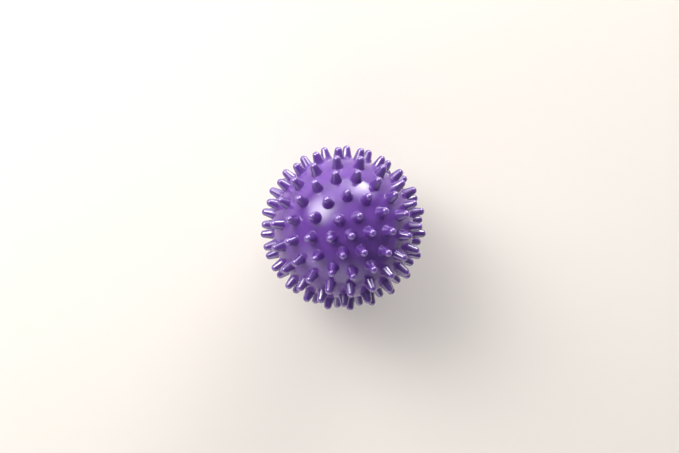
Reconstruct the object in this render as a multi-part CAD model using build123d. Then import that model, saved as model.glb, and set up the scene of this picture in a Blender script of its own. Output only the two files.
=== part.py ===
from build123d import *
import os
from math import cos, radians, sin, tan

# A spiky massage ball in soft PVC, full of air, with the needle valve that it is inflated through.
# The skin and all its spikes are one moulded piece. The valve is a collar moulded into the skin,
# with a rubber plug held in the collar by its neck and bulb.
#
# Frame, in millimetres: the origin is the ball's centre. +Z points at the mould's closed pole,
# which carries a spike, and -Z at the pole with the valve in place of a spike. The mould parts
# on the plane Z = 0.

# The ball
ball_diameter = 80.0        # over the spike tips
spike_height = 6.0          # above the skin's round surface
wall = 3.0
tip_radius = ball_diameter / 2
body_radius = tip_radius - spike_height
cavity_radius = body_radius - wall

# One spike: a wide round nose, straight sides like a blunt cone's, a root that curves out to meet the
# skin, and a foot in the wall. Heights and depths are from the skin's round surface.
nose_radius = 1.85
side_slope = 12             # degrees between the side and the spike's axis
waist_height = 0.22         # where the side ends and the root begins
flare_radius = 3.05         # where the root ends, just under the skin
flare_depth = 0.17
foot_depth = 1.2

# Rings of spikes on one mould half: tilt from the pole, number of spikes, azimuth of the first
rings = [
    (0, 1, 0),
    (15, 6, 7),
    (31, 12, 4),
    (48, 17, 18),
    (64.5, 19, 3),
    (82, 22, 12.5),
]
# The other half is the same shape turned over, about a level line at this azimuth
turnover_azimuth = 25

# The collar that holds the valve, from the ball's surface inwards
collar_radius = 5.0
collar_depth = 9.0
flange_radius = 7.4
flange_start = 1.6
flange_end = 3.2

# The ring of thicker skin round the collar
boss_radius = 9.6
boss_depth = 5.2
boss_fillet = 1.2

# The plug that seals the valve: a head level with the skin, a neck, and a bulb below it
head_radius = 3.6
head_depth = 1.2
neck_radius = 2.2
neck_depth = 3.8
bulb_radius = 3.3
shoulder_depth = 5.2
bulb_depth = 10.2
bulb_round = 1.5

# The blind channel that takes the inflating needle, and its funnel-shaped mouth
mouth_radius = 1.7
channel_radius = 1.0
mouth_depth = 1.3
channel_depth = 6.6


def level(depth):
    """Height on the valve's axis of a point this far inside the ball's round surface."""
    return depth - body_radius


def turned(corners):
    """The solid that a closed outline of (radius, height) corners sweeps round the Z axis."""
    outline = Polyline(*corners, close=True)
    return revolve(Plane.XZ * make_face(outline), Axis.Z)


def spike():
    """One spike on the +Z axis, with its foot sunk into the wall."""
    slope = radians(side_slope)
    tip = (0, tip_radius)
    shoulder_radius = nose_radius * cos(slope)
    shoulder_height = tip_radius - nose_radius * (1 - sin(slope))
    side_height = shoulder_height - body_radius - waist_height
    shoulder = (shoulder_radius, shoulder_height)
    waist = (shoulder_radius + side_height * tan(slope), body_radius + waist_height)
    flare = (flare_radius, body_radius - flare_depth)
    foot = (flare_radius, body_radius - foot_depth)
    foot_centre = (0, body_radius - foot_depth)
    nose = TangentArc(tip, shoulder, tangent=(1, 0))
    side = Line(shoulder, waist)
    root = TangentArc(waist, flare, tangent=side % 1)
    rest = Polyline(flare, foot, foot_centre, tip)
    return revolve(Plane.XZ * make_face([nose, side, root, rest]), Axis.Z)


def half_ball_sites():
    """Tilt and azimuth of every spike on the half round the +Z pole."""
    sites = []
    for tilt, count, first in rings:
        for index in range(count):
            sites.append((tilt, first + index * 360 / count))
    return sites


def spike_sites():
    """Every spike on both halves. The turned-over half has the valve where its pole spike was."""
    upper = half_ball_sites()
    lower = [(180 - tilt, 2 * turnover_azimuth - azimuth) for tilt, azimuth in upper if tilt > 0]
    return upper + lower


def spiky_solid():
    """The ball's outside as a solid: a sphere with a spike at every site."""
    one = spike()
    spikes = [Rot(0, 0, azimuth) * Rot(0, tilt, 0) * one for tilt, azimuth in spike_sites()]
    return Sphere(body_radius).fuse(*spikes)


def air_space():
    """The hollow inside the skin, which goes round the thicker ring at the valve."""
    boss = turned([
        (0, -body_radius),
        (boss_radius, -body_radius),
        (boss_radius, level(boss_depth)),
        (0, level(boss_depth)),
    ])
    rim = boss.edges().group_by(Axis.Z)[-1]
    return Sphere(cavity_radius) - fillet(rim, boss_fillet)


def collar_outline():
    """The valve collar's outer shape, a stepped round block level with the ball's surface."""
    block = turned([
        (0, -body_radius),
        (collar_radius, -body_radius),
        (collar_radius, level(flange_start)),
        (flange_radius, level(flange_start)),
        (flange_radius, level(flange_end)),
        (collar_radius, level(flange_end)),
        (collar_radius, level(collar_depth)),
        (0, level(collar_depth)),
    ])
    return block & Sphere(body_radius)


def plug_outline():
    """The plug's outer shape: head, neck, and a bulb that swells below the neck."""
    block = turned([
        (0, -body_radius),
        (head_radius, -body_radius),
        (head_radius, level(head_depth)),
        (neck_radius, level(head_depth)),
        (neck_radius, level(neck_depth)),
        (bulb_radius, level(shoulder_depth)),
        (bulb_radius, level(bulb_depth)),
        (0, level(bulb_depth)),
    ])
    end = block.edges().group_by(Axis.Z)[-1]
    return fillet(end, bulb_round) & Sphere(body_radius)


def needle_channel():
    """The funnel mouth and the blind hole that the needle goes down."""
    return turned([
        (0, -body_radius),
        (mouth_radius, -body_radius),
        (channel_radius, level(mouth_depth)),
        (channel_radius, level(channel_depth)),
        (0, level(channel_depth)),
    ])


def ball_skin():
    return spiky_solid() - air_space() - collar_outline()


def valve_collar():
    bulb_room = turned([
        (0, level(shoulder_depth)),
        (bulb_radius, level(shoulder_depth)),
        (bulb_radius, level(collar_depth)),
        (0, level(collar_depth)),
    ])
    return collar_outline() - plug_outline() - bulb_room


def valve_plug():
    return plug_outline() - needle_channel()


def main():
    os.makedirs("parts", exist_ok=True)
    nodes = {
        "ball_skin": ball_skin(),
        "valve_collar": valve_collar(),
        "valve_plug": valve_plug(),
    }
    for name, solid in nodes.items():
        export_step(solid, os.path.join("parts", name + ".step"))


main()
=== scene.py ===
from math import asin, atan2, ceil, cos, pi, radians, sin, sqrt

import bpy
import numpy as np
from mathutils import Matrix, Vector
from mathutils.geometry import delaunay_2d_cdt

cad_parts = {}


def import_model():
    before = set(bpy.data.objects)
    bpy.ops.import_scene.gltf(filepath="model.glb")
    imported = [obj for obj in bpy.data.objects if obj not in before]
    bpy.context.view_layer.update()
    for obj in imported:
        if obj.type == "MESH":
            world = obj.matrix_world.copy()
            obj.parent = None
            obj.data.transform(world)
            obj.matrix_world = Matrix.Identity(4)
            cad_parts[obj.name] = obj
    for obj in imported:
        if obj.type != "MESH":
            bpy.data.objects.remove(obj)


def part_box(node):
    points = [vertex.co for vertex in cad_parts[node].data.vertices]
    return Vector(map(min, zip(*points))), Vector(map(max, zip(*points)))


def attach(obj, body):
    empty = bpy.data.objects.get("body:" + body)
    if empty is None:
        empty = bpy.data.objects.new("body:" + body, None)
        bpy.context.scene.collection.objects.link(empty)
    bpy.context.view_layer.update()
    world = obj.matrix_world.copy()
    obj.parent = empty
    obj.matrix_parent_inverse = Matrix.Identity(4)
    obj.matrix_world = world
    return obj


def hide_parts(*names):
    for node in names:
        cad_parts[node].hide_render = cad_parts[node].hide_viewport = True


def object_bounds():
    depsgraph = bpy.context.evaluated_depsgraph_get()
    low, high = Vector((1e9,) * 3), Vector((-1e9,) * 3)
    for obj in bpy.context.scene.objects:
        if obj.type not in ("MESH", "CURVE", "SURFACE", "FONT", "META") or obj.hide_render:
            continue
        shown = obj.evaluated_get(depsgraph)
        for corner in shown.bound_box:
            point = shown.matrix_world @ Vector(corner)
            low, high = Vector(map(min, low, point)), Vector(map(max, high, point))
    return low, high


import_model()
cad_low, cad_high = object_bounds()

# A spiky massage ball in glossy purple PVC, with its inflating valve at the lower pole.
# Lengths are in millimetres, in the frame's axes with the origin at the ball's centre, until a
# mesh is made. The floor, the lights and the camera are in metres.
MM = 0.001

# ---------------------------------------------------------------- the ball's driving dimensions
SPIKE_HEIGHT = 6.0
WALL = 3.0
TIP_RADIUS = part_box("ball_skin")[1].z / MM
BODY_RADIUS = TIP_RADIUS - SPIKE_HEIGHT
CAVITY_RADIUS = BODY_RADIUS - WALL

# One spike: a round nose, a straight side like a blunt cone's, and a root that curves onto the skin
NOSE_RADIUS = 1.85
NOSE_TURN = radians(78)         # how far the nose arc turns from the tip to the side
ROOT_ROUND = 0.5
PATCH_RADIUS = 3.4              # the skin round each spike that belongs to the spike's own grid
NOSE_STEPS, SIDE_STEPS, ROOT_STEPS, PATCH_STEPS = 8, 3, 4, 2
SPIKE_SEGMENTS = 28

# How much one spike differs from the next, as soft moulded spikes do
SEED = 41
HEIGHT_SPREAD = (0.004, 0.022)  # share of its height that a spike is short by
LEAN = radians(1.1)

# Rings of spikes on one mould half: tilt from the pole, number of spikes, azimuth of the first
RINGS = [(0, 1, 0), (15, 6, 7), (31, 12, 4), (48, 17, 18), (64.5, 19, 3), (82, 22, 12.5)]
TURNOVER_AZIMUTH = 25

# The skin between the spikes, and how far its points keep from other rows and from spikes' patches
FILL_SPACING = 1.35
ROW_CLEARANCE = 0.6 * FILL_SPACING
PATCH_CLEARANCE = 0.55 * FILL_SPACING

# The mould's seam, a fine ridge on the plane Z = 0, and the rows of points that carry it
SEAM_HEIGHT, SEAM_WIDTH = 0.09, 0.16
SEAM_ROWS = (0.0, 0.09, 0.18, 0.30, 0.48, 0.8)
SEAM_DENSITY = 1.6              # times as many points along a row as between the spikes

# Slight waves in the moulded wall, which fade out towards the valve between two radii
SHORT_SWELL, LONG_SWELL = 9.0, 17.0
SWELL_HEIGHT = 0.035            # of a long wave
WAVES_PER_LENGTH = 7
SWELL_START, SWELL_FULL = 5.6, 9.0

# The valve: seat in the skin, collar, plug
LATHE_SEGMENTS = 96
COLLAR_RADIUS, FLANGE_RADIUS = 5.0, 7.4
FLANGE_START, FLANGE_END, COLLAR_DEPTH = 1.6, 3.2, 9.0
BOSS_RADIUS, BOSS_DEPTH, BOSS_ROUND = 9.6, 5.2, 1.2
HEAD_RADIUS, HEAD_DEPTH = 3.6, 1.2
NECK_RADIUS, NECK_DEPTH = 2.2, 3.8
BULB_RADIUS, SHOULDER_DEPTH, BULB_DEPTH, BULB_ROUND = 3.3, 5.2, 10.2, 1.5
MOUTH_RADIUS, CHANNEL_RADIUS, MOUTH_DEPTH, CHANNEL_DEPTH = 1.7, 1.0, 1.3, 6.6
LIP_ROUND = 0.3
EDGE_ROUND = 0.18
CORNER_STEPS = 4
CAVITY_STEPS = 34


# ---------------------------------------------------------------- the spike's outline
def arc_points(centre, radius, start, end, steps):
    """Points and outward normals on an arc of angles from the axis, as rows of (radius, height)."""
    angles = np.linspace(start, end, steps + 1)
    normals = np.stack([np.sin(angles), np.cos(angles)], axis=1)
    return centre + radius * normals, normals


def circles_meet(centre_a, radius_a, centre_b, radius_b):
    """The two points where two circles cross."""
    across = centre_b - centre_a
    distance = np.linalg.norm(across)
    along = (radius_a**2 - radius_b**2 + distance**2) / (2 * distance)
    aside = sqrt(radius_a**2 - along**2)
    unit = across / distance
    left = np.array([-unit[1], unit[0]])
    middle = centre_a + along * unit
    return middle + aside * left, middle - aside * left


def axis_angle(vector):
    """Angle from the axis of a (radius, height) vector."""
    return atan2(vector[0], vector[1])


def spike_outline():
    """The spike's outline from its tip to the edge of its patch of skin: points and normals."""
    nose_centre = np.array([0.0, TIP_RADIUS - NOSE_RADIUS])
    nose, nose_normals = arc_points(nose_centre, NOSE_RADIUS, 0, NOSE_TURN, NOSE_STEPS)
    # The root's circle touches the side's line and the round skin
    facing = nose_normals[-1]
    up_side = np.array([-facing[1], facing[0]])
    out = facing @ nose[-1] + ROOT_ROUND
    root_centre = out * facing + sqrt((BODY_RADIUS + ROOT_ROUND)**2 - out**2) * up_side
    side_end = root_centre - ROOT_ROUND * facing
    shares = np.linspace(0, 1, SIDE_STEPS + 1)[:, None]
    side = (1 - shares) * nose[-1] + shares * side_end
    side_normals = np.tile(facing, (SIDE_STEPS + 1, 1))
    # The root's own angle runs back from the side to the skin, with normals turned outwards
    skin_end = axis_angle(root_centre)
    root, root_normals = arc_points(root_centre, -ROOT_ROUND, NOSE_TURN, skin_end, ROOT_STEPS)
    edge_turn = asin(PATCH_RADIUS / BODY_RADIUS)
    edge, edge_normals = arc_points(np.zeros(2), BODY_RADIUS, skin_end, edge_turn, PATCH_STEPS)
    points = np.concatenate([nose, side[1:], root[1:], edge[1:]])
    normals = np.concatenate([nose_normals, side_normals[1:], root_normals[1:], edge_normals[1:]])
    return points, normals


# ---------------------------------------------------------------- where the spikes stand
def direction(tilt, azimuth):
    """Unit vector at this tilt from +Z and azimuth from +X, both in degrees."""
    down, round_z = radians(tilt), radians(azimuth)
    return np.array([sin(down) * cos(round_z), sin(down) * sin(round_z), cos(down)])


def spike_sites():
    """Every spike's direction. The lower half is the upper one turned over, less its pole spike."""
    upper = [(tilt, first + k * 360 / count) for tilt, count, first in RINGS for k in range(count)]
    lower = [(180 - tilt, 2 * TURNOVER_AZIMUTH - azimuth) for tilt, azimuth in upper if tilt > 0]
    return [direction(tilt, azimuth) for tilt, azimuth in upper + lower]


def cross_axes(axis):
    """Two unit vectors square to an axis and to each other."""
    upright = abs(axis[2]) >= 0.9
    helper = np.array([1.0, 0.0, 0.0]) if upright else np.array([0.0, 0.0, 1.0])
    u = np.cross(helper, axis)
    u /= np.linalg.norm(u)
    return u, np.cross(axis, u)


def spike_grid(axis, outline, outline_normals, shrink, lean):
    """One spike's points and normals, ring by ring from the tip, bent a little by its lean."""
    u, v = cross_axes(axis)
    turns = 2 * pi * np.arange(SPIKE_SEGMENTS) / SPIKE_SEGMENTS
    around = np.cos(turns)[:, None] * u + np.sin(turns)[:, None] * v
    above = outline[:, 1] - BODY_RADIUS
    rise = np.clip(above, 0, None)
    height = outline[:, 1] - shrink * rise
    bend = rise**2 / (2 * SPIKE_HEIGHT)
    slope = rise / SPIKE_HEIGHT
    aside = lean[0] * u + lean[1] * v
    centres = height[:, None] * axis + bend[:, None] * aside
    points = centres[:, None, :] + outline[:, 0, None, None] * around
    normals = outline_normals[:, 0, None, None] * around + outline_normals[:, 1, None, None] * axis
    normals = normals - (normals @ aside)[..., None] * slope[:, None, None] * axis
    tip, tip_normal = points[0, 0], normals[0, 0]
    rings, ring_normals = points[1:].reshape(-1, 3), normals[1:].reshape(-1, 3)
    return np.vstack([tip, rings]), np.vstack([tip_normal, ring_normals])


def spike_faces(rings, first):
    """Faces of one spike's grid, whose points start at this index."""
    count = SPIKE_SEGMENTS
    here = np.arange(count)
    after = (here + 1) % count
    fan = [(first, first + 1 + a, first + 1 + b) for a, b in zip(here, after)]
    quads = []
    for ring in range(rings - 1):
        start = first + 1 + ring * count
        for a, b in zip(here, after):
            quads.append((start + a, start + count + a, start + count + b, start + b))
    return fan + quads


# ---------------------------------------------------------------- the skin between the spikes
def spiral_points(spacing):
    """Points spread evenly over the unit sphere, about this far apart on the ball."""
    count = ceil(4 * pi * BODY_RADIUS**2 / (spacing**2 * sqrt(3) / 2))
    index = np.arange(count) + 0.5
    height = 1 - 2 * index / count
    turn = pi * (1 + sqrt(5)) * index
    flat = np.sqrt(1 - height**2)
    return np.stack([flat * np.cos(turn), flat * np.sin(turn), height], axis=1)


def seam_points():
    """Rows of points along the mould's parting line, close enough to carry its fine ridge."""
    count = ceil(2 * pi * BODY_RADIUS / FILL_SPACING * SEAM_DENSITY)
    turns = 2 * pi * np.arange(count) / count
    rows = []
    for number, offset in enumerate(SEAM_ROWS):
        shifted = turns + number % 2 * pi / count
        heights = (offset, -offset) if offset else (offset,)
        for height in heights:
            rise = height / BODY_RADIUS
            flat = np.stack([np.cos(shifted), np.sin(shifted)], axis=1) * cos(rise)
            rows.append(np.column_stack([flat, np.full(count, sin(rise))]))
    return np.concatenate(rows)


def fill_points(sites):
    """Unit vectors of the skin's points between the spikes' patches and round the valve."""
    points = spiral_points(FILL_SPACING)
    band = (SEAM_ROWS[-1] + ROW_CLEARANCE) / BODY_RADIUS
    points = points[np.abs(points[:, 2]) > band]
    nearest = (points @ np.array(sites).T).max(axis=1)
    clear = cos((PATCH_RADIUS + PATCH_CLEARANCE) / BODY_RADIUS)
    valve = (COLLAR_RADIUS + LIP_ROUND + ROW_CLEARANCE) / BODY_RADIUS
    points = points[(nearest < clear) & (points[:, 2] > -cos(valve))]
    return np.concatenate([points, seam_points()])


def triangles_between(units, owners):
    """Delaunay triangles over unit vectors, flattened by lines of sight from the valve's pole. A
    triangle with its three corners on one owner's ring is left out, for the owner fills it."""
    flat = units[:, :2] / (1 + units[:, 2])[:, None]
    tolerance = 1e-9
    made = delaunay_2d_cdt([Vector(p) for p in flat.tolist()], [], [], 0, tolerance)
    made_faces, made_from = made[2], made[3]
    origin = [ids[0] for ids in made_from]
    faces = np.array([[origin[i] for i in face] for face in made_faces])
    owned = owners[faces]
    inside_one = (owned[:, 0] >= 0) & (owned[:, 0] == owned[:, 1]) & (owned[:, 1] == owned[:, 2])
    faces = faces[~inside_one]
    a, b, c = units[faces[:, 0]], units[faces[:, 1]], units[faces[:, 2]]
    inward = np.einsum("ij,ij->i", np.cross(b - a, c - a), a + b + c) < 0
    faces[inward] = faces[inward][:, ::-1]
    return faces


# ---------------------------------------------------------------- turned outlines
def depth(value):
    """Height on the axis of a point this far inside the round skin at the valve's pole."""
    return value - BODY_RADIUS


def surface(radius):
    """Height of the round skin at this distance from the axis, at the valve's pole."""
    return -sqrt(BODY_RADIUS**2 - radius**2)


def rounded(corners):
    """An outline through corners of (radius, height, round), with each corner's round cut in."""
    points = []
    count = len(corners)
    for index, (radius, height, size) in enumerate(corners):
        here = np.array([radius, height])
        if size == 0:
            points.append(here)
            continue
        back = np.array(corners[index - 1][:2]) - here
        ahead = np.array(corners[(index + 1) % count][:2]) - here
        start = here + back / np.linalg.norm(back) * size
        end = here + ahead / np.linalg.norm(ahead) * size
        for share in np.linspace(0, 1, CORNER_STEPS + 1):
            points.append((1 - share)**2 * start + 2 * share * (1 - share) * here + share**2 * end)
    return points


def seat_and_cavity():
    """The skin's inner outline: from the lip of the valve's hole, round the flange, over the boss
    and along the air space to its far pole."""
    lip_start = 0.4     # radians round the lip from the outside's last ring, which is at 0
    lip = []
    for turn in np.linspace(lip_start, pi / 2, 5):
        inward, up = LIP_ROUND * (1 - sin(turn)), LIP_ROUND * (1 - cos(turn))
        lip.append((COLLAR_RADIUS + inward, surface(COLLAR_RADIUS) + up))
    seat = [
        (COLLAR_RADIUS, depth(FLANGE_START)),
        (FLANGE_RADIUS, depth(FLANGE_START)),
        (FLANGE_RADIUS, depth(FLANGE_END)),
        (COLLAR_RADIUS, depth(FLANGE_END)),
        (COLLAR_RADIUS, depth(BOSS_DEPTH)),
    ]
    round_centre = np.array([BOSS_RADIUS - BOSS_ROUND, depth(BOSS_DEPTH) - BOSS_ROUND])
    meets = circles_meet(round_centre, BOSS_ROUND, np.zeros(2), CAVITY_RADIUS)
    corner = max(meets, key=lambda point: point[0])
    boss, _ = arc_points(round_centre, BOSS_ROUND, 0, axis_angle(corner - round_centre), 5)
    cavity, _ = arc_points(np.zeros(2), CAVITY_RADIUS, axis_angle(corner), 0, CAVITY_STEPS)
    return [*lip, *seat, *boss.tolist(), *cavity[1:].tolist()]


def lathe_rows(outline):
    """Points of an outline turned round Z, one row of points for each corner off the axis."""
    turns = 2 * pi * np.arange(LATHE_SEGMENTS) / LATHE_SEGMENTS
    circle = np.stack([np.cos(turns), np.sin(turns)], axis=1)
    level = np.ones(LATHE_SEGMENTS)
    rows = [np.column_stack([radius * circle, height * level]) for radius, height in outline]
    return np.concatenate(rows)


def row_quads(row_a, row_b):
    """Faces between two rows of indices that both go round Z."""
    return [(row_a[k], row_a[k - 1], row_b[k - 1], row_b[k]) for k in range(len(row_a))]


def lathe(outline):
    """Points and faces of a closed outline turned round Z. It goes up its inside and down its
    outside, or starts on the axis at its top and ends on the axis."""
    closed = outline[0][0] > 0
    body = outline if closed else outline[1:-1]
    points = lathe_rows(body)
    rows = np.arange(len(points)).reshape(len(body), LATHE_SEGMENTS)
    faces = []
    for a, b in zip(rows[:-1], rows[1:]):
        faces += row_quads(a, b)
    if closed:
        faces += row_quads(rows[-1], rows[0])
        return points, faces
    ends = np.array([[0, 0, outline[0][1]], [0, 0, outline[-1][1]]])
    first, last = len(points), len(points) + 1
    for k in range(LATHE_SEGMENTS):
        faces.append((first, rows[0][k - 1], rows[0][k]))
        faces.append((rows[-1][k], rows[-1][k - 1], last))
    return np.vstack([points, ends]), faces


# ---------------------------------------------------------------- slight unevenness of the wall
def swell_waves(random):
    """Wave vectors, phases and heights of the wall's slight waves."""
    waves = []
    for length in (SHORT_SWELL, LONG_SWELL):
        height = SWELL_HEIGHT * length / LONG_SWELL
        for _ in range(WAVES_PER_LENGTH):
            heading = random.normal(size=3)
            heading /= np.linalg.norm(heading)
            waves.append((heading * 2 * pi / length, random.uniform(0, 2 * pi), height))
    return waves


def unevenness(points, waves):
    """How far each point of the ball's outside stands proud, and how that changes over the skin."""
    length = np.linalg.norm(points, axis=1)
    unit = points / length[:, None]
    place = unit * BODY_RADIUS
    height = np.zeros(len(points))
    slope = np.zeros_like(points)
    for vector, phase, size in waves:
        angle = place @ vector + phase
        height += size * (np.sin(angle) - 1) / 2
        slope += size / 2 * np.cos(angle)[:, None] * vector
    from_axis = np.hypot(place[:, 0], place[:, 1])
    share = np.clip((from_axis - SWELL_START) / (SWELL_FULL - SWELL_START), 0, 1)
    share = np.where(place[:, 2] < 0, share**2 * (3 - 2 * share), 1)
    height *= share
    slope *= share[:, None]
    # The seam's ridge is only on the skin, not on a spike that crosses it
    across = place[:, 2] / SEAM_WIDTH
    on_skin = np.abs(length - BODY_RADIUS) < ROOT_ROUND
    ridge = on_skin * SEAM_HEIGHT * np.exp(-across**2)
    height += ridge
    slope[:, 2] -= ridge * 2 * across / SEAM_WIDTH
    slope -= np.einsum("ij,ij->i", slope, unit)[:, None] * unit
    return unit, height, slope


def make_uneven(points, normals, waves):
    """Moves the outside's points by the wall's unevenness and turns their normals to match."""
    unit, height, slope = unevenness(points, waves)
    facing = np.einsum("ij,ij->i", normals, unit)
    moved = points + height[:, None] * unit
    turned = normals - facing[:, None] * slope
    return moved, turned / np.linalg.norm(turned, axis=1)[:, None]


# ---------------------------------------------------------------- pieces
def mesh_object(name, points, faces, normals=None):
    """A smooth mesh object from points in millimetres, with exact normals where they are given."""
    mesh = bpy.data.meshes.new(name)
    corners = [tuple(int(index) for index in face) for face in faces]
    mesh.from_pydata((np.asarray(points) * MM).tolist(), [], corners)
    mesh.shade_smooth()
    if normals is not None:
        mesh.normals_split_custom_set_from_vertices(normals.tolist())
    item = bpy.data.objects.new(name, mesh)
    bpy.context.scene.collection.objects.link(item)
    return item


def spikes(sites, random):
    """All the spikes with their patches of skin: points, normals, faces, and the patches' edges."""
    outline, outline_normals = spike_outline()
    rings = len(outline) - 1
    points, normals, faces, edges = [], [], [], []
    for number, axis in enumerate(sites):
        shrink = random.uniform(*HEIGHT_SPREAD)
        turn = random.uniform(0, 2 * pi)
        lean = LEAN * sqrt(random.uniform(0, 1)) * np.array([cos(turn), sin(turn)])
        grid, grid_normals = spike_grid(axis, outline, outline_normals, shrink, lean)
        first = number * len(grid)
        after = first + len(grid)
        points.append(grid)
        normals.append(grid_normals)
        faces += spike_faces(rings, first)
        edges.append(np.arange(after - SPIKE_SEGMENTS, after))
    return np.concatenate(points), np.concatenate(normals), faces, np.concatenate(edges)


def outside(random):
    """The ball's outside, with a ring of points round the valve's hole as its last points."""
    sites = spike_sites()
    points, normals, faces, edges = spikes(sites, random)
    lip_radius = COLLAR_RADIUS + LIP_ROUND
    lip_row = lathe_rows([(lip_radius, surface(lip_radius))]) / BODY_RADIUS
    between = np.concatenate([fill_points(sites), lip_row])
    all_points = np.concatenate([points, between * BODY_RADIUS])
    all_normals = np.concatenate([normals, between])
    joined = np.concatenate([edges, np.arange(len(points), len(all_points))])
    edge_owners = np.repeat(np.arange(len(sites)), SPIKE_SEGMENTS)
    owners = np.concatenate([edge_owners, np.full(len(between), -1)])
    units = all_points[joined] / BODY_RADIUS
    faces += joined[triangles_between(units, owners)].tolist()
    uneven_points, uneven_normals = make_uneven(all_points, all_normals, swell_waves(random))
    return uneven_points, uneven_normals, faces


def skin():
    """The whole skin as one closed mesh: spikes, skin between them, valve seat and air space."""
    points, normals, faces = outside(np.random.default_rng(SEED))
    inner_points = lathe_rows(seat_and_cavity()[:-1])
    pole = np.array([[0, 0, CAVITY_RADIUS]])
    start = len(points)
    lip_ring = np.arange(start - LATHE_SEGMENTS, start)
    rows = [lip_ring, *(start + np.arange(len(inner_points)).reshape(-1, LATHE_SEGMENTS))]
    for a, b in zip(rows[:-1], rows[1:]):
        faces += row_quads(a, b)
    pole_index = start + len(inner_points)
    faces += [(rows[-1][k], rows[-1][k - 1], pole_index) for k in range(LATHE_SEGMENTS)]
    points = np.concatenate([points, inner_points, pole])
    # A zero normal leaves the inside with its own smooth one
    normals = np.concatenate([normals, np.zeros((len(inner_points) + 1, 3))])
    return mesh_object("skin", points, faces, normals)


def collar():
    """The ring of firmer PVC that holds the plug, its face just below the skin's."""
    face_gap = 0.06
    side_gap = 0.03
    outer = COLLAR_RADIUS - side_gap
    outline = rounded([
        (HEAD_RADIUS + side_gap, surface(HEAD_RADIUS) + face_gap, EDGE_ROUND),
        (HEAD_RADIUS + side_gap, depth(HEAD_DEPTH), 0),
        (NECK_RADIUS, depth(HEAD_DEPTH), 0),
        (NECK_RADIUS, depth(NECK_DEPTH), 0),
        (BULB_RADIUS, depth(SHOULDER_DEPTH), 0),
        (BULB_RADIUS, depth(COLLAR_DEPTH), 0.3),
        (COLLAR_RADIUS, depth(COLLAR_DEPTH), 0.5),
        (COLLAR_RADIUS, depth(FLANGE_END), 0),
        (FLANGE_RADIUS, depth(FLANGE_END), 0),
        (FLANGE_RADIUS, depth(FLANGE_START), 0),
        (outer, depth(FLANGE_START), 0),
        (outer, surface(COLLAR_RADIUS) + face_gap, EDGE_ROUND),
    ])
    return mesh_object("collar", *lathe(outline))


def plug():
    """The self-sealing plug: head just below the skin, funnel, blind channel, neck and bulb."""
    sunk = 0.10
    shoulder = 0.8 * HEAD_RADIUS
    outline = rounded([
        (0, depth(CHANNEL_DEPTH), 0),
        (CHANNEL_RADIUS, depth(CHANNEL_DEPTH), 0.2),
        (CHANNEL_RADIUS, depth(MOUTH_DEPTH), 0.3),
        (MOUTH_RADIUS, surface(MOUTH_RADIUS) + sunk / 2, 0.25),
        (shoulder, surface(shoulder) + sunk / 2, 0.6),
        (HEAD_RADIUS, surface(HEAD_RADIUS) + sunk, EDGE_ROUND),
        (HEAD_RADIUS, depth(HEAD_DEPTH), 0),
        (NECK_RADIUS, depth(HEAD_DEPTH), 0),
        (NECK_RADIUS, depth(NECK_DEPTH), 0),
        (BULB_RADIUS, depth(SHOULDER_DEPTH), 0),
        (BULB_RADIUS, depth(BULB_DEPTH), BULB_ROUND),
        (0, depth(BULB_DEPTH), 0),
    ])
    return mesh_object("plug", *lathe(outline[::-1]))


# ---------------------------------------------------------------- materials
class Nodes:
    """Short calls for building a node tree."""

    def __init__(self, tree):
        self.tree = tree

    def add(self, kind, **settings):
        node = self.tree.nodes.new(kind)
        for name, value in settings.items():
            setattr(node, name, value)
        return node

    def link(self, source, target):
        self.tree.links.new(source, target)

    def place(self):
        """The point's own place on the object, in metres."""
        return self.add("ShaderNodeTexCoord").outputs["Object"]

    def noise(self, size, detail=3, roughness=0.5):
        """Noise whose lumps are about this many metres across, from 0 to 1."""
        node = self.add("ShaderNodeTexNoise")
        node.inputs["Scale"].default_value = 1 / size
        node.inputs["Detail"].default_value = detail
        node.inputs["Roughness"].default_value = roughness
        self.link(self.place(), node.inputs["Vector"])
        return node.outputs["Fac"]

    def ranged(self, source, from_low, from_high, to_low, to_high, smooth=False):
        """A value moved from one range to another, and held at the ends."""
        node = self.add("ShaderNodeMapRange")
        node.interpolation_type = "SMOOTHSTEP" if smooth else "LINEAR"
        self.link(source, node.inputs["Value"])
        node.inputs["From Min"].default_value = from_low
        node.inputs["From Max"].default_value = from_high
        node.inputs["To Min"].default_value = to_low
        node.inputs["To Max"].default_value = to_high
        return node.outputs["Result"]

    def math(self, operation, a, b=0):
        """One step of arithmetic on sockets or numbers."""
        node = self.add("ShaderNodeMath", operation=operation)
        for socket, value in zip(node.inputs, (a, b)):
            if isinstance(value, (int, float)):
                socket.default_value = value
            else:
                self.link(value, socket)
        return node.outputs["Value"]

    def mix(self, share, colour_a, colour_b):
        """From one colour to another, each a socket or a tuple, as the share goes from 0 to 1."""
        node = self.add("ShaderNodeMix", data_type="RGBA")
        self.link(share, node.inputs["Factor"])
        for name, value in (("A", colour_a), ("B", colour_b)):
            socket = next(s for s in node.inputs if s.name == name and s.type == "RGBA")
            if isinstance(value, tuple):
                socket.default_value = (*value, 1)
            else:
                self.link(value, socket)
        return next(s for s in node.outputs if s.type == "RGBA")

    def from_centre(self):
        """Distance from the ball's centre, in metres."""
        node = self.add("ShaderNodeVectorMath", operation="LENGTH")
        self.link(self.place(), node.inputs[0])
        return node.outputs["Value"]

    def bump(self, height, distance, under=None):
        """A normal bent by a height from 0 to 1, which is this many metres at 1."""
        node = self.add("ShaderNodeBump")
        node.inputs["Distance"].default_value = distance
        self.link(height, node.inputs["Height"])
        if under is not None:
            self.link(under, node.inputs["Normal"])
        return node.outputs["Normal"]


def new_material(name):
    """A material with its nodes helper and its Principled shader."""
    material = bpy.data.materials.new(name)
    material.use_nodes = True
    return material, Nodes(material.node_tree), material.node_tree.nodes["Principled BSDF"]


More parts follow.
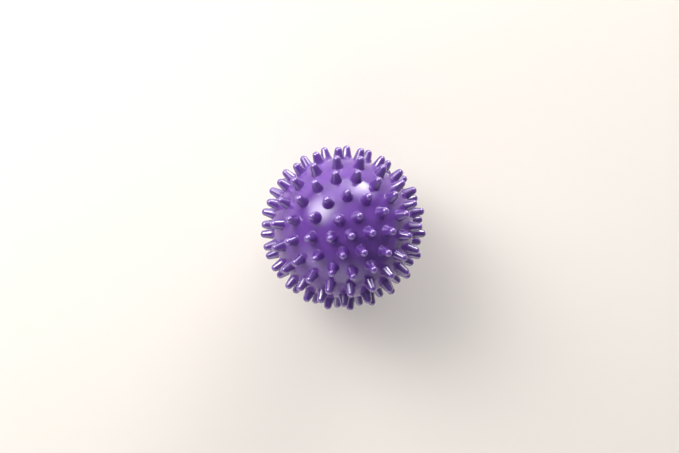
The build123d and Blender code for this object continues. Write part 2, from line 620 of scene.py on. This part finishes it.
def skin_material():
    """Glossy purple PVC: slight clouding, glossier spikes, faint grain and orange peel. The spikes'
    darker colour is painted shade, and their paler tips are painted light that shows through them."""
    deep, pale = (0.112, 0.040, 0.246), (0.128, 0.048, 0.278)
    # Painted shade for the spikes' sides, then painted light for their tips
    painted_spike_shade, painted_tip_glow = (0.092, 0.028, 0.222), (0.165, 0.074, 0.345)
    material, nodes, shader = new_material("skin_pvc")
    cloud = nodes.noise(11 * MM, detail=2)
    colour = nodes.mix(nodes.ranged(cloud, 0.3, 0.7, 0, 1), deep, pale)
    # From 0 on the round skin to 1 at the tips
    up_spike = nodes.ranged(nodes.from_centre(), BODY_RADIUS * MM, TIP_RADIUS * MM, 0, 1)
    on_spike = nodes.ranged(up_spike, 0.02, 0.25, 0, 1, smooth=True)
    # Painted shade: the spikes take a darker purple that stands in for the shade on their sides
    colour = nodes.mix(nodes.math("MULTIPLY", on_spike, 0.7), colour, painted_spike_shade)
    # Painted light: the tips grow paler towards their ends, standing in for light that shows
    # through them
    near_tip = nodes.ranged(up_spike, 0.6, 1.0, 0, 0.6, smooth=True)
    nodes.link(nodes.mix(near_tip, colour, painted_tip_glow), shader.inputs["Base Color"])
    smear = nodes.noise(3.5 * MM, detail=4, roughness=0.6)
    skin_rough = nodes.ranged(smear, 0.3, 0.75, 0.10, 0.15)
    rough = nodes.math("MULTIPLY", skin_rough, nodes.ranged(on_spike, 0, 1, 1.0, 0.45))
    nodes.link(rough, shader.inputs["Roughness"])
    shader.inputs["IOR"].default_value = 1.53
    nodes.link(on_spike, shader.inputs["Coat Weight"])
    shader.inputs["Coat Roughness"].default_value = 0.03
    shader.inputs["Coat IOR"].default_value = 1.68
    shader.inputs["Subsurface Weight"].default_value = 0.3
    shader.inputs["Subsurface Radius"].default_value = (0.6, 0.25, 1.0)
    shader.inputs["Subsurface Scale"].default_value = 1.4 * MM
    peel = nodes.bump(nodes.noise(1.7 * MM, detail=1), 0.008 * MM)
    grain = nodes.bump(nodes.noise(0.22 * MM, detail=2), 0.0015 * MM, under=peel)
    nodes.link(grain, shader.inputs["Normal"])
    return material


def collar_material():
    """Firmer purple PVC with a satin moulded face."""
    deep, pale = (0.080, 0.022, 0.24), (0.100, 0.030, 0.28)
    material, nodes, shader = new_material("collar_pvc")
    cloud = nodes.noise(2.5 * MM, detail=3)
    colour = nodes.mix(nodes.ranged(cloud, 0.3, 0.7, 0, 1), deep, pale)
    nodes.link(colour, shader.inputs["Base Color"])
    rough = nodes.ranged(nodes.noise(0.8 * MM), 0.3, 0.7, 0.3, 0.42)
    nodes.link(rough, shader.inputs["Roughness"])
    grain = nodes.bump(nodes.noise(0.15 * MM, detail=2), 0.006 * MM)
    nodes.link(grain, shader.inputs["Normal"])
    return material


def plug_material():
    """Milky soft rubber, a little translucent and dusty."""
    dull, pale = (0.60, 0.555, 0.59), (0.68, 0.635, 0.66)
    material, nodes, shader = new_material("plug_rubber")
    cloud = nodes.noise(1.6 * MM, detail=4)
    colour = nodes.mix(nodes.ranged(cloud, 0.3, 0.7, 0, 1), dull, pale)
    nodes.link(colour, shader.inputs["Base Color"])
    rough = nodes.ranged(nodes.noise(0.5 * MM), 0.3, 0.7, 0.42, 0.55)
    nodes.link(rough, shader.inputs["Roughness"])
    shader.inputs["Subsurface Weight"].default_value = 0.3
    shader.inputs["Subsurface Radius"].default_value = (1.0, 0.7, 0.8)
    shader.inputs["Subsurface Scale"].default_value = 0.8 * MM
    grain = nodes.bump(nodes.noise(0.12 * MM, detail=2), 0.006 * MM)
    nodes.link(grain, shader.inputs["Normal"])
    return material


def place_pieces():
    """Makes the three pieces, gives each its material, ties it to its body and hides its CAD node.
    """
    makers = [
        (skin, "ball_skin", "skin", skin_material),
        (collar, "valve_collar", "collar", collar_material),
        (plug, "valve_plug", "plug", plug_material),
    ]
    for make, node, slot, material in makers:
        piece = make()
        piece.data.materials.append(material())
        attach(piece, "root")
        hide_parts(node)


# ---------------------------------------------------------------- stage, light and camera
FLOOR_SIZE = 30.0
BACKDROP = (0.93, 0.89, 0.83)
ROOM_LIGHT = (0.15, 0.145, 0.19)
SOFTBOX_EDGE = 2.5                              # half a softbox's width, in spreads of its curve
LOOK_BACK = Vector((-0.0997, 0.0978, 0.9902))   # from the ball towards the camera
CAMERA_DISTANCE = 0.82
LENS = 90.8
AIM_RIGHT, AIM_UP = -0.0017, 0.0007             # the ball sits just right of and below the middle


def floor_material():
    """Cream paper. Far from the ball it glows, so that the backdrop stays even past the softboxes,
    and from below it is clear, so that the ball's underside can be seen."""
    near, far = (0.68, 0.64, 0.575), (0.10, 0.096, 0.088)
    material, nodes, shader = new_material("floor_paper")
    away = nodes.ranged(nodes.from_centre(), 0.2, 0.65, 0, 1, smooth=True)
    nodes.link(nodes.mix(away, near, far), shader.inputs["Base Color"])
    shader.inputs["Emission Color"].default_value = (*BACKDROP, 1)
    nodes.link(nodes.ranged(away, 0, 1, 0.16, 0.85), shader.inputs["Emission Strength"])
    shader.inputs["Roughness"].default_value = 0.75
    shader.inputs["Specular IOR Level"].default_value = 0
    clear = nodes.add("ShaderNodeBsdfTransparent")
    sides = nodes.add("ShaderNodeMixShader")
    nodes.link(nodes.add("ShaderNodeNewGeometry").outputs["Backfacing"], sides.inputs["Fac"])
    nodes.link(shader.outputs["BSDF"], sides.inputs[1])
    nodes.link(clear.outputs["BSDF"], sides.inputs[2])
    output = material.node_tree.nodes["Material Output"]
    nodes.link(sides.outputs["Shader"], output.inputs["Surface"])
    return material


def floor():
    """A level sheet under the ball's lowest spikes."""
    mesh = bpy.data.meshes.new("floor")
    half = FLOOR_SIZE / 2
    corners = [(-half, -half), (half, -half), (half, half), (-half, half)]
    mesh.from_pydata([(x, y, cad_low.z) for x, y in corners], [], [(0, 1, 2, 3)])
    item = bpy.data.objects.new("floor", mesh)
    bpy.context.scene.collection.objects.link(item)
    mesh.materials.append(floor_material())


def softbox(name, heading, distance, spread, radiance, colour):
    """A square softbox that faces the ball from this far away in this direction. It is brightest
    at its middle and fades like a bell curve, whose spread is in degrees as seen from the ball."""
    light = bpy.data.lights.new(name, "AREA")
    light.shape = "SQUARE"
    light.size = 2 * SOFTBOX_EDGE * distance * radians(spread)
    light.energy = radiance * pi * light.size**2
    light.color = colour
    light.use_nodes = True
    nodes = Nodes(light.node_tree)
    middle = nodes.add("ShaderNodeVectorMath", operation="SUBTRACT")
    nodes.link(nodes.add("ShaderNodeNewGeometry").outputs["Parametric"], middle.inputs[0])
    middle.inputs[1].default_value = (0.5, 0.5, 0)
    square = nodes.add("ShaderNodeVectorMath", operation="DOT_PRODUCT")
    nodes.link(middle.outputs["Vector"], square.inputs[0])
    nodes.link(middle.outputs["Vector"], square.inputs[1])
    power = nodes.math("MULTIPLY", square.outputs["Value"], -2 * SOFTBOX_EDGE**2)
    fade = nodes.math("EXPONENT", power)
    nodes.link(fade, light.node_tree.nodes["Emission"].inputs["Strength"])
    item = bpy.data.objects.new(name, light)
    heading = Vector(heading).normalized()
    item.location = heading * distance
    item.rotation_mode = "QUATERNION"
    item.rotation_quaternion = heading.to_track_quat("Z", "Y")
    item.visible_camera = False
    bpy.context.scene.collection.objects.link(item)


def world():
    """Dim even light from all round, with a pale backdrop where the camera sees past the floor."""
    scene_world = bpy.data.worlds.new("studio")
    bpy.context.scene.world = scene_world
    scene_world.use_nodes = True
    nodes = Nodes(scene_world.node_tree)
    back = scene_world.node_tree.nodes["Background"]
    back.inputs["Strength"].default_value = 1.0
    seen = nodes.add("ShaderNodeLightPath").outputs["Is Camera Ray"]
    nodes.link(nodes.mix(seen, ROOM_LIGHT, BACKDROP), back.inputs["Color"])


def camera():
    """A long lens that looks down on the ball from a little to one side of straight above."""
    data = bpy.data.cameras.new("camera")
    data.lens = LENS
    data.sensor_width = 36
    item = bpy.data.objects.new("camera", data)
    back = LOOK_BACK.normalized()
    right = Vector((0, 1, 0)).cross(back).normalized()
    up = back.cross(right)
    item.rotation_mode = "QUATERNION"
    item.rotation_quaternion = Matrix((right, up, back)).transposed().to_quaternion()
    item.location = back * CAMERA_DISTANCE + right * AIM_RIGHT + up * AIM_UP
    data.clip_start, data.clip_end = 0.01, 50
    bpy.context.scene.collection.objects.link(item)
    bpy.context.scene.camera = item


def lights():
    """A key at the upper left, a tall window behind at the right, and walls that return light."""
    white, day, cream = (1.0, 1.0, 1.0), (1.0, 0.99, 0.98), (1.0, 0.98, 0.96)
    warm, mauve = (1.0, 0.97, 0.94), (1.0, 0.97, 1.0)
    softbox("key", (-0.61, 0.54, 0.57), 1.0, 12.2, 14.3, day)
    softbox("key_glow", (-0.15, 0.79, 0.59), 1.2, 22.0, 1.1, day)
    softbox("window", (0.36, 0.89, 0.27), 1.2, 8.5, 8.2, white)
    softbox("window_foot", (0.43, 0.89, 0.09), 1.2, 8.5, 15.0, white)
    softbox("back_wall", (-0.05, 0.98, 0.12), 1.4, 16.0, 3.6, white)
    softbox("left_wall", (-0.70, -0.66, 0.22), 1.6, 12.0, 2.6, warm)
    softbox("front_wall", (0.0, -0.97, 0.18), 1.8, 20.0, 2.1, mauve)
    softbox("right_wall", (0.95, -0.25, 0.20), 1.8, 22.0, 0.15, cream)


place_pieces()
floor()
world()
lights()
camera()
bpy.context.scene.view_settings.view_transform = "Standard"
